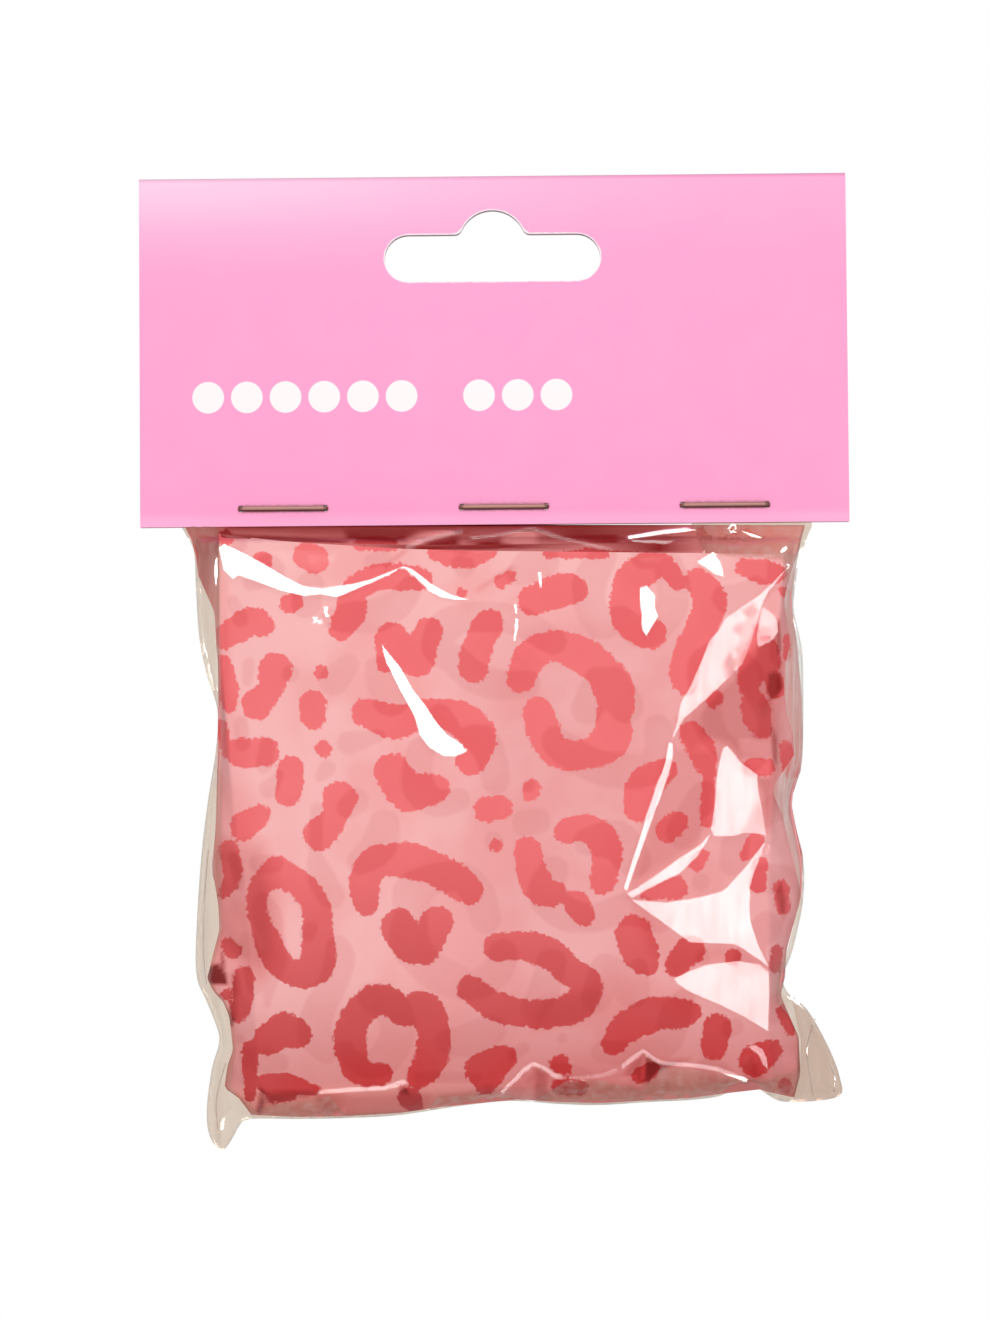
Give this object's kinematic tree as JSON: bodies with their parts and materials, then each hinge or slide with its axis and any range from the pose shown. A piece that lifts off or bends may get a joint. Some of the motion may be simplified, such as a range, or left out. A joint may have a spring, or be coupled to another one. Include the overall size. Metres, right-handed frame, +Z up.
{
  "type": "packed shower cap",
  "caption": "Folded leopard-print shower cap with elastic hem, packed in a clear film bag under a stapled card header with a hang slot; the pouch swings at its film neck.",
  "frame": {"origin": "top of the hang slot's arch, where a peg bears, at the middle of the card's thickness", "axes": "+Z up as the packet hangs, +X to the right seen from the front, front face towards -Y"},
  "size_m": [0.105, 0.0122, 0.1452],
  "materials": {
    "card_stock": "smooth coated card, printed pink",
    "staple_wire": "plated steel wire",
    "bag_film": "clear glossy film",
    "cap_film": "pale pink film with a coral leopard print",
    "elastic": "white knitted elastic"
  },
  "bodies": {
    "card": {"header_card": "card_stock", "staple_left": "staple_wire", "staple_centre": "staple_wire", "staple_right": "staple_wire", "bag_mouth": "bag_film"},
    "pouch": {"bag_front_panel": "bag_film", "bag_back_panel": "bag_film", "bag_left_seal": "bag_film", "bag_right_seal": "bag_film", "cap_panel": "cap_film", "cap_hem": "cap_film", "elastic_band": "elastic"}
  },
  "joints": [
    {"name": "pouch_swing", "type": "hinge", "parent": "card", "child": "pouch", "pos_m": [0, 0, -0.0476], "axis": [1, 0, 0], "range_deg": [-75, 75]}
  ]
}
